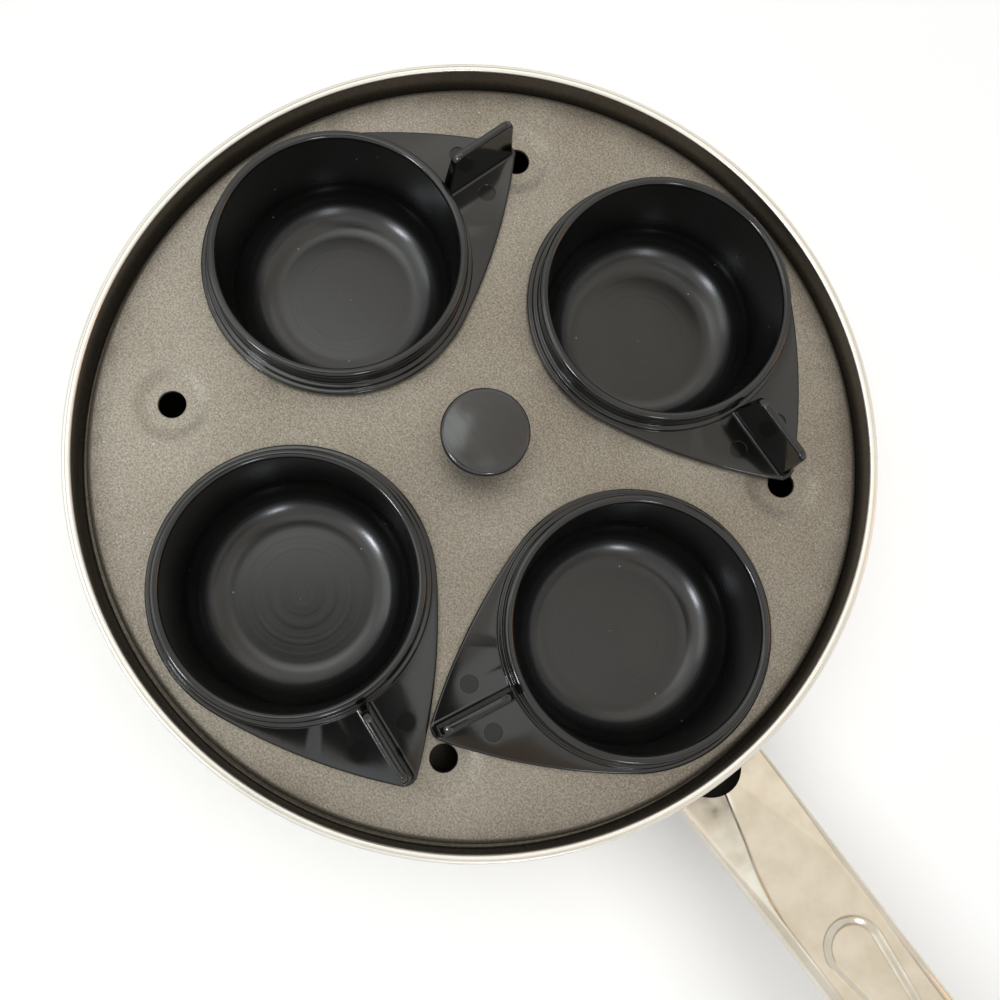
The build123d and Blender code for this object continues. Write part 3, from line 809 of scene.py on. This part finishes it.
def handle_skin():
    """Outer surface of the handle: columns along its outline, rows from the skirt's lower
    edge over the roll to the middle line. Reaches in past the pan's wall, to be cut."""
    end_radius = (HANDLE_HALF * cos(HANDLE_LEAN) - HANDLE_LENGTH * sin(HANDLE_LEAN)) / (1 - sin(HANDLE_LEAN))
    end_middle = HANDLE_LENGTH - end_radius
    touch = end_middle + end_radius * sin(HANDLE_LEAN)
    columns = []
    x = HANDLE_START
    while x < touch - END_GAP:
        columns.append((x, HANDLE_HALF - x * tan(HANDLE_LEAN), pi / 2 - HANDLE_LEAN))
        x += FINE_STEP if x < FINE_REACH else COARSE_STEP
    end_columns = 2 * END_STEPS + 1
    for step in range(end_columns):
        angle = (pi / 2 - HANDLE_LEAN) * (1 - step / END_STEPS)
        columns.append((end_middle + end_radius * cos(angle), end_radius * sin(angle), angle))
    columns += [(x, -y, -angle) for x, y, angle in reversed(columns[:-end_columns])]
    points = []
    for x, y, angle in columns:
        full = abs(y) / sin(abs(angle)) if x < touch - END_GAP else end_radius
        insets = [HANDLE_ROUND * (1 - cos(pi / 2 * i / ROLL_ROWS)) for i in range(ROLL_ROWS + 1)]
        insets += [HANDLE_ROUND + (full - HANDLE_ROUND) * i / TOP_ROWS for i in range(1, TOP_ROWS + 1)]
        top = handle_drop(x, y, 0.0)
        bottom = skirt_drop(x)
        points += [(x, y, -bottom + (bottom - top) * share) for share in SKIRT_ROWS]
        for inset in insets:
            px, py = x - inset * cos(angle), y - inset * sin(angle)
            points.append((px, py, -handle_drop(px, py, inset)))
    rows = len(points) // len(columns)
    faces = [
        (c * rows + r, (c + 1) * rows + r, (c + 1) * rows + r + 1, c * rows + r + 1)
        for c in range(len(columns) - 1) for r in range(rows - 1)
    ]
    mesh = bpy.data.meshes.new("handle_skin")
    mesh.from_pydata([(x * MM, y * MM, z * MM) for x, y, z in points], [], faces)
    form = bmesh.new()
    form.from_mesh(mesh)
    bmesh.ops.remove_doubles(form, verts=form.verts, dist=WELD)
    bmesh.ops.recalc_face_normals(form, faces=form.faces)
    if sum(face.normal.z * face.calc_area() for face in form.faces) < 0:
        bmesh.ops.reverse_faces(form, faces=form.faces)
    form.to_mesh(mesh)
    form.free()
    return mesh, end_middle


def handle():
    """Pressed handle: the outer surface given its thickness, with the notch, the hanging
    hole and the room for the pan's wall cut out."""
    skin, end_middle = handle_skin()
    place = place_at(RIM_OUTER_RADIUS, 0, HANDLE_TOP) @ Matrix.Rotation(radians(-HANDLE_RISE), 4, "Y")
    pressed = bpy.data.objects.new("pressed_handle", skin)
    bpy.context.scene.collection.objects.link(pressed)
    thickness = pressed.modifiers.new("thickness", "SOLIDIFY")
    thickness.thickness = HANDLE_SKIN * MM
    thickness.offset = -1
    thickness.use_even_offset = True
    cutters = []
    for name, radius, spot, segments in (
        ("notch", NOTCH_RADIUS, place_at(*NOTCH_MIDDLE, 0), HOLE_SEGMENTS),
        ("hang_hole", HANG_HOLE, place_at(end_middle, 0, 0), HANG_HOLE_SEGMENTS),
        ("wall", RIM_OUTER_RADIUS + HANDLE_GAP, place.inverted(), WALL_CUTTER_SEGMENTS),
    ):
        form = bmesh.new()
        bmesh.ops.create_cone(form, cap_ends=True, segments=segments, radius1=radius * MM,
                              radius2=radius * MM, depth=CUTTER_LENGTH * MM)
        form.transform(spot)
        mesh = bpy.data.meshes.new(name)
        form.to_mesh(mesh)
        form.free()
        cutter = bpy.data.objects.new(name, mesh)
        bpy.context.scene.collection.objects.link(cutter)
        cut = pressed.modifiers.new(name, "BOOLEAN")
        cut.operation = "DIFFERENCE"
        cut.solver = "EXACT"
        cut.use_self = name == "wall"
        cut.object = cutter
        cutters.append(cutter)
    seen = pressed.evaluated_get(bpy.context.evaluated_depsgraph_get())
    mesh = bpy.data.meshes.new_from_object(seen)
    for piece in (pressed, *cutters):
        bpy.data.objects.remove(piece)
    settle(joined("pressed_steel_handle", [mesh], HANDLE_STEEL), place, "pan", "handle")


# Tray

ON_TRAY = place_at(0, TRAY_SHIFT, TRAY_TOP, TRAY_TURN)


def tray():
    """Perforated plate with a turned-down edge, eased cup holes and dimpled vents."""
    under = -TRAY_THICKNESS
    inner = TRAY_RADIUS - TRAY_THICKNESS
    sheets = []
    for level, rim in ((0.0, TRAY_RADIUS - TRAY_ROUND), (under, inner - TRAY_ROUND)):
        sheets.append(grow(PERFORATED_SHEET, bpy.data.meshes.new("none"), {
            "Level": level * MM, "Rim Radius": rim * MM, "Rim Segments": BIG_SEGMENTS,
            "Middle Radius": SCREW_HOLE * MM, "Hole Segments": HOLE_SEGMENTS, "Ring Count": HOLE_COUNT,
            "Hole Radius": (HOLE_RADIUS + EDGE_BREAK) * MM, "Hole Ring": HOLE_RING * MM,
            "Vent Radius": DIMPLE_RADIUS * MM, "Vent Ring": VENT_RING * MM,
            "Vent First Angle": pi / HOLE_COUNT, "Step Angle": 2 * pi / HOLE_COUNT,
            "Material": TRAY_COATING,
        }))
    edge = turned("tray_edge", rounded_path([
        (TRAY_RADIUS - TRAY_ROUND, 0, 0), (TRAY_RADIUS, 0, TRAY_ROUND - ROUND_MARGIN),
        (TRAY_RADIUS, -TRAY_LIP, TRAY_LIP_ROUND), (inner, -TRAY_LIP, TRAY_LIP_ROUND),
        (inner, under, TRAY_ROUND - ROUND_MARGIN), (inner - TRAY_ROUND, under, 0),
    ]), BIG_SEGMENTS, TRAY_COATING)
    hole = turned("cup_hole", rounded_path([
        (HOLE_RADIUS + EDGE_BREAK, 0, 0), (HOLE_RADIUS, 0, EDGE_BREAK - ROUND_MARGIN),
        (HOLE_RADIUS, under, EDGE_BREAK - ROUND_MARGIN), (HOLE_RADIUS + EDGE_BREAK, under, 0),
    ]), HOLE_SEGMENTS, TRAY_COATING)
    run = DIMPLE_RADIUS - DIMPLE_FLOOR
    slope = [
        (DIMPLE_RADIUS - run * i / DIMPLE_STEPS, -DIMPLE_DEPTH * smooth_share(i / DIMPLE_STEPS))
        for i in range(DIMPLE_STEPS + 1)
    ]
    lip = rounded_path([
        (VENT_RADIUS + VENT_EDGE, -DIMPLE_DEPTH, 0), (VENT_RADIUS, -DIMPLE_DEPTH, EDGE_BREAK),
        (VENT_RADIUS, under - DIMPLE_DEPTH, EDGE_BREAK), (VENT_RADIUS + VENT_EDGE, under - DIMPLE_DEPTH, 0),
    ])
    lower_slope = [(r, z + under) for r, z in reversed(slope)]
    dimple = turned("dimple", slope + lip + lower_slope, HOLE_SEGMENTS, TRAY_COATING)
    middle = turned("screw_hole", [(SCREW_HOLE, 0), (SCREW_HOLE, under)], HOLE_SEGMENTS, TRAY_COATING)
    step = 360 / HOLE_COUNT
    holes = copied(hole, HOLE_COUNT, HOLE_RING, 0.0, step, 0.0, TRAY_COATING)
    dimples = copied(dimple, HOLE_COUNT, VENT_RING, step / 2, step, 0.0, TRAY_COATING)
    form = joined("tray_plate", sheets + [edge, holes, dimples, middle], TRAY_COATING)
    settle(form, ON_TRAY, "lift_tray", "tray")


# Cups

def wing_outline(inset):
    """Plan of a cup's flange and wing drawn in by an inset, wing along +X."""
    tip_x = WING_REACH - WING_TIP
    flange_arm = WING_EDGE - FLANGE_RADIUS
    centre_x = (tip_x**2 + flange_arm**2 - (WING_EDGE - WING_TIP) ** 2) / (2 * tip_x)
    centre_y = -sqrt(flange_arm**2 - centre_x**2)
    start = atan2(-centre_y, -centre_x)
    end = atan2(-centre_y, tip_x - centre_x)
    outline = arc((tip_x, 0), WING_TIP - inset, -end, end, WING_TIP_STEPS)[:-1]
    outline += arc((centre_x, centre_y), WING_EDGE - inset, end, start, WING_EDGE_STEPS)[:-1]
    outline += arc((0, 0), FLANGE_RADIUS - inset, start, 2 * pi - start, FLANGE_STEPS)[:-1]
    outline += arc((centre_x, -centre_y), WING_EDGE - inset, -start, -end, WING_EDGE_STEPS)[:-1]
    return outline


def circle(centre, radius, count):
    """Closed loop of points round a circle."""
    return arc(centre, radius, 0.0, 2 * pi, count)[:-1]


def cup_plate():
    """Flange and wing with eased edges and two round mould marks, open where the bowl passes."""
    eased = PLATE_BREAK * BREAK_SHARE
    edge = [(PLATE_BREAK, 0.0), (eased, eased), (0.0, PLATE_BREAK)]
    for step in range(PLATE_ROUND_STEPS + 1):
        a = pi / 2 * step / PLATE_ROUND_STEPS
        edge.append((PLATE_ROUND * (1 - cos(a)), PLATE_TOP - PLATE_ROUND * (1 - sin(a))))
    rim = skin_loops([[(x, y, z) for x, y in wing_outline(inset)] for inset, z in edge])
    marks = [(PIN_REACH, side * PIN_OFFSET) for side in (-1, 1)]
    holes = [circle((0, 0), STEP_RADIUS + FOOT_FILLET, HOLE_SEGMENTS)]
    holes += [circle(mark, PIN_RADIUS + PIN_BREAK, SMALL_SEGMENTS) for mark in marks]
    top = filled_sheet(wing_outline(PLATE_ROUND), holes, PLATE_TOP)
    passage = circle((0, 0), BODY_RADIUS + FOOT_FILLET, HOLE_SEGMENTS)
    under = filled_sheet(wing_outline(PLATE_BREAK), [passage], 0.0)
    mark = turned("mould_mark", [
        (PIN_RADIUS + PIN_BREAK, PLATE_TOP), (PIN_RADIUS, PLATE_TOP - PIN_BREAK_DEPTH),
        (PIN_RADIUS, PLATE_TOP - PIN_DEPTH), (0, PLATE_TOP - PIN_DEPTH),
    ], SMALL_SEGMENTS, CUP_PLASTIC)
    pair = []
    for x, y in marks:
        sunk = mark.copy()
        sunk.transform(Matrix.Translation((x * MM, y * MM, 0)))
        pair.append(sunk)
    return [rim, top, under, *pair]


def fin():
    """Upright fin: thins upwards, with rounded top corners and edges and a flared foot."""
    corner_start = FIN_HEIGHT - FIN_CORNER
    levels = [PLATE_TOP - FIN_FOOT_DEPTH]
    levels += [PLATE_TOP + rise for rise in FIN_FOOT_RISES]
    levels += [corner_start - drop for drop in FIN_CORNER_DROPS]
    for i in range(FIN_CORNER_STEPS - 2):   # the top's rounding stands in for the last two
        levels.append(corner_start + FIN_CORNER * sin(pi / 2 * i / FIN_CORNER_STEPS))
    for i in range(FIN_TOP_STEPS + 1):
        levels.append(FIN_HEIGHT - FIN_TOP_ROUND * (1 - sin(pi / 2 * i / FIN_TOP_STEPS)))
    loops = []
    for z in sorted(set(round(level, 5) for level in levels)):
        rise = z / FIN_HEIGHT
        flare = max(0.0, PLATE_TOP + FIN_FLARE - z)
        flare = FIN_FLARE - sqrt(max(0.0, FIN_FLARE**2 - min(flare, FIN_FLARE) ** 2))
        above = max(0.0, z - corner_start)
        corner = FIN_CORNER - sqrt(FIN_CORNER**2 - min(above, FIN_CORNER) ** 2)
        above = max(0.0, z - FIN_HEIGHT + FIN_TOP_ROUND)
        thinned = FIN_TOP_ROUND - sqrt(max(0.0, FIN_TOP_ROUND**2 - above**2))
        low = FIN_ROOT + FIN_INNER_LEAN * rise + corner - flare
        high = FIN_TIP - FIN_OUTER_LEAN * rise - corner + flare
        half = FIN_BASE_HALF + (FIN_TOP_HALF - FIN_BASE_HALF) * rise - thinned + flare
        high = min(high, WING_REACH - FIN_SETBACK)
        loops.append([(x, y, z) for x, y in bar_loop(low, high, half)])
    return skin_loops(loops, closed_ends=True)


def bar_loop(low, high, half):
    """Closed loop round a bar with rounded corners from low to high along X."""
    radius = min(FIN_TOP_ROUND, half * BAR_ROUND_SHARE)
    loop = []
    for x, y, start in ((high - radius, half - radius, 0.0), (low + radius, half - radius, pi / 2),
                        (low + radius, radius - half, pi), (high - radius, radius - half, 1.5 * pi)):
        corner = arc((x, y), radius, start, start + pi / 2, BAR_ROUND_STEPS)
        loop += corner
        if start in (0.0, pi):
            strip = -EDGE_STRIP if start == 0.0 else EDGE_STRIP
            loop += [(corner[-1][0] + strip, corner[-1][1]),
                     (high + low - corner[-1][0] - strip, corner[-1][1])]
    return loop


def cups():
    """Four cups, each one moulding: bowl, skirt with its step, flange, wing and fin."""
    bowl_top = LIP_RADIUS - LIP_WIDTH
    inside = turned("bowl", rounded_path([
        (0, BOWL_FLOOR, 0), (bowl_top - BOWL_DRAFT, BOWL_FLOOR, BOWL_ROUND),
        (bowl_top, LIP_HEIGHT, LIP_ROUND), (LIP_RADIUS, LIP_HEIGHT, LIP_ROUND),
        (LIP_RADIUS, STEP_HEIGHT, STEP_ROUND), (STEP_RADIUS, STEP_HEIGHT, STEP_ROUND),
        (STEP_RADIUS, PLATE_TOP, FOOT_FILLET - ROUND_MARGIN), (STEP_RADIUS + FOOT_FILLET, PLATE_TOP, 0),
    ]), HOLE_SEGMENTS, CUP_PLASTIC)
    outside = turned("body", rounded_path([
        (BODY_RADIUS + FOOT_FILLET, 0, 0), (BODY_RADIUS, 0, FOOT_FILLET - ROUND_MARGIN),
        (BODY_RADIUS - BODY_DRAFT, BODY_UNDER, BODY_ROUND), (0, BODY_UNDER, 0),
    ]), HOLE_SEGMENTS, CUP_PLASTIC)
    moulding = joined("cup", [inside, outside, *cup_plate(), fin()], CUP_PLASTIC)
    own = moulding.attributes.new("cup_local", "FLOAT_VECTOR", "POINT")
    own.data.foreach_set("vector", [value for vertex in moulding.vertices for value in vertex.co])
    for name, (angle, wing_angle, shift_x, shift_y) in CUPS.items():
        hole = ON_TRAY @ Matrix.Rotation(radians(angle), 4, "Z") @ Vector((HOLE_RING * MM, 0, 0))
        place = place_at(hole.x / MM + shift_x, hole.y / MM + shift_y, TRAY_TOP, wing_angle)
        moulded = moulding.copy()
        moulded.name = name + "_moulding"
        settle(moulded, place, "loose_" + name, name)


# Knob and what holds it

def knob():
    """Turned knob: foot, waisted neck and a wide head with a slightly domed top."""
    rim_level = sqrt(KNOB_DOME**2 - (KNOB_RADIUS - KNOB_CROWN) ** 2) - KNOB_DOME + KNOB_HEIGHT
    top = [
        (r, KNOB_HEIGHT - KNOB_DOME + sqrt(KNOB_DOME**2 - r * r))
        for r in (KNOB_RADIUS - KNOB_TOP_START, *KNOB_TOP_RADII)
    ]
    body = rounded_path([
        (0, KNOB_BORE_DEPTH, 0), (KNOB_BORE, KNOB_BORE_DEPTH, 0), (KNOB_BORE, 0, 0),
        (KNOB_FOOT, 0, KNOB_FOOT_EDGE), (KNOB_FOOT, KNOB_FOOT_HEIGHT, KNOB_FOOT_ROUND),
        (KNOB_NECK, KNOB_FOOT_HEIGHT + KNOB_FOOT_TAPER, KNOB_FOOT_TAPER),
        (KNOB_NECK, KNOB_UNDER - KNOB_HEAD_TAPER, KNOB_HEAD_TAPER),
        (KNOB_RADIUS, KNOB_UNDER, KNOB_HEAD_EDGE),
        (KNOB_RADIUS, rim_level, KNOB_CROWN), (KNOB_RADIUS - KNOB_TOP_START, top[0][1], 0),
    ])
    head_and_foot = turned("knob", body + top[1:], KNOB_SEGMENTS, KNOB_PLASTIC)
    form = joined("knob_turned_body", [head_and_foot], KNOB_PLASTIC)
    settle(form, ON_TRAY, "lift_tray", "knob")


def hidden_hardware():
    """CAD solids kept as they are, with their finishes."""
    zinc = zinc_plated_steel()
    # the bracket's near-black finish is painted shade, seen through the handle's notch
    for node, material in (("handle_bracket", bracket_steel()), ("knob_insert", turned_brass()),
                           ("knob_screw", zinc), ("knob_washer", zinc)):
        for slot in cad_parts[node].material_slots:
            slot.material = material


# Stage

def stage_plane(name, size, location, rotation, material):
    """Square sheet of the studio."""
    mesh = bpy.data.meshes.new(name)
    half = size / 2
    corners = [(-half, -half, 0), (half, -half, 0), (half, half, 0), (-half, half, 0)]
    mesh.from_pydata(corners, [], [(0, 1, 2, 3)])
    mesh.materials.append(material)
    plane = bpy.data.objects.new(name, mesh)
    plane.location = location
    plane.rotation_euler = rotation
    bpy.context.scene.collection.objects.link(plane)
    return plane


def soft_light(name, location, target, size, power, color):
    """Square area light aimed at a point."""
    data = bpy.data.lights.new(name, "AREA")
    data.size = size
    data.energy = power
    data.color = linear(color)[:3]
    light = bpy.data.objects.new(name, data)
    light.location = location
    light.rotation_euler = (Vector(location) - Vector(target)).to_track_quat("Z", "Y").to_euler()
    bpy.context.scene.collection.objects.link(light)
    return light


def far_place(azimuth, elevation, distance):
    """Point at a distance in metres from the pan, by its direction in degrees."""
    a, e = radians(azimuth), radians(elevation)
    return (distance * cos(e) * cos(a), distance * cos(e) * sin(a), AIM_LEVEL + distance * sin(e))


def reflected_card(name, location, size, color, strength, azimuth=None, far=None):
    """Card that only shows in reflections. It is turned to the pan, or lies flat overhead
    where the azimuth of its far edge is given. That edge can have its own colour and strength."""
    material = bpy.data.materials.new(name)
    material.use_nodes = True
    tree = material.node_tree
    tree.nodes.clear()
    glow = add(tree, "ShaderNodeEmission", {"Color": linear(color), "Strength": strength})
    rotation = (Vector((0, 0, AIM_LEVEL)) - Vector(location)).to_track_quat("Z", "Y").to_euler()
    if azimuth is not None:
        far_color, far_strength = far or (color, strength)
        rotation = (pi, 0, radians(azimuth + 90))
        place = add(tree, "ShaderNodeTexCoord").outputs["Object"]
        across = add(tree, "ShaderNodeSeparateXYZ", {0: place}).outputs["Y"]
        share = spread(tree, across, -size / 2, size / 2, 0.0, 1.0)
        tree.links.new(spread(tree, share, 0.0, 1.0, strength, far_strength), glow.inputs["Strength"])
        tree.links.new(blend(tree, share, color, far_color), glow.inputs["Color"])
    add(tree, "ShaderNodeOutputMaterial", {"Surface": glow.outputs["Emission"]})
    card = stage_plane(name, size, location, rotation, material)
    card.visible_camera = False
    card.visible_diffuse = False
    card.visible_transmission = False
    card.visible_shadow = False
    return card


def studio():
    """White floor that fades into the white surroundings, soft light overhead and cards that
    give the reflections: a dim and warm side, window spots, a silver and a dark area."""
    floor, tree, shader, place = new_finish("studio_floor", "#f4f4f4", 0.6)
    soft = cloud(tree, place, 300, 2.0)
    tree.links.new(blend(tree, soft, "#fbfbfa", "#fefefd"), shader.inputs["Base Color"])
    seen = add(tree, "ShaderNodeLightPath").outputs["Is Camera Ray"]
    away = spread(tree, distance_from(tree, place, (0, 0)), FLOOR_FADE_NEAR, FLOOR_FADE_FAR, 0.0, 1.0)
    glow = add(tree, "ShaderNodeMath", {0: seen, 1: away}, operation="MULTIPLY").outputs[0]
    tree.links.new(glow, shader.inputs["Emission Strength"])
    stage_plane("studio_floor", FLOOR_SIZE, (0, 0, FLOOR_LEVEL), (0, 0, 0), floor)
    world = bpy.data.worlds.new("studio")
    world.use_nodes = True
    bpy.context.scene.world = world
    tree = world.node_tree
    tree.nodes.clear()
    ray = add(tree, "ShaderNodeLightPath").outputs
    shown = add(tree, "ShaderNodeMath",
                {0: ray["Is Camera Ray"], 1: ray["Is Transmission Ray"]}, operation="MAXIMUM").outputs[0]
    glossy = add(tree, "ShaderNodeMath", {0: ray["Is Glossy Ray"], 1: GLOSSY_LEVEL - DIFFUSE_LEVEL},
                 operation="MULTIPLY").outputs[0]
    strength = add(tree, "ShaderNodeMath", {0: shown, 1: 1.0, 2: DIFFUSE_LEVEL}, operation="MULTIPLY_ADD")
    strength = add(tree, "ShaderNodeMath", {0: strength.outputs[0], 1: glossy}, operation="ADD").outputs[0]
    background = add(tree, "ShaderNodeBackground", {"Color": (1, 1, 1, 1), "Strength": strength})
    add(tree, "ShaderNodeOutputWorld", {"Surface": background.outputs["Background"]})
    overhead = soft_light("overhead", (0.0, 0.0, 1.15), (0, 0, 0.03), 1.5, 14.5, "#ffffff")
    overhead.visible_glossy = False
    reflected_card("ceiling_card", (0.0, 0.1, 0.65), 1.1, "#fdfcfa", 1.48, 36, ("#ffefdb", 0.42))
    reflected_card("far_glow", (-0.3, 0.4, 0.645), 0.3, "#fffaf2", 1.5, 36)
    reflected_card("handle_card", (0.24, 0.12, 0.64), 0.34, "#fffcf8", 1.0, 90, ("#fff8ee", 1.02))
    reflected_card("flank_card", (0.18, 0.45, 0.64), 0.32, "#fffaf2", 1.12, EVEN)
    reflected_card("dark_card", (-0.012, -0.125, 0.63), 0.16, "#6d7470", 0.14, EVEN)
    reflected_card("dark_tip_card", (0.078, -0.094, 0.629), 0.085, "#8d9490", 0.25, EVEN)
    reflected_card("wing_card", (0.07, 0.003, 0.632), 0.11, "#f6f8f4", 1.5, EVEN)
    reflected_card("brown_card", (0.19, -0.085, 0.633), 0.13, "#d9bc9c", 0.75, 90, ("#e2c8ab", 0.85))
    reflected_card("silver_card", (0.19, -0.23, 0.632), 0.2, "#eef4f8", 1.4, EVEN)
    reflected_card("knob_card", (-0.2, -0.03, 0.64), 0.2, "#f6faf6", 2.8, 36, ("#f6faf6", 2.6))
    reflected_card("room_card", far_place(-128, 44, 1.2), 0.6, "#eef4f2", 2.6)
    reflected_card("window_card", far_place(-26, 37, 1.3), 0.16, "#f2f7ff", 18.0)
    reflected_card("side_window_card", far_place(-97, 37, 1.3), 0.19, "#f2f7ff", 32.0)
    reflected_card("warm_card", far_place(54, 16, 1.2), 0.3, "#ffb066", 3.0)


def look_down():
    """Camera over the pan, as in the photograph."""
    data = bpy.data.cameras.new("overhead_view")
    data.lens = LENS
    data.sensor_width = SENSOR
    camera = bpy.data.objects.new("overhead_view", data)
    camera.location = CAMERA_PLACE
    camera.rotation_euler = [radians(angle) for angle in CAMERA_TURN]
    bpy.context.scene.collection.objects.link(camera)
    bpy.context.scene.camera = camera


pan_shell()
rivets()
handle()
tray()
cups()
knob()
hidden_hardware()
studio()
look_down()
bpy.context.scene.view_settings.view_transform = "Standard"
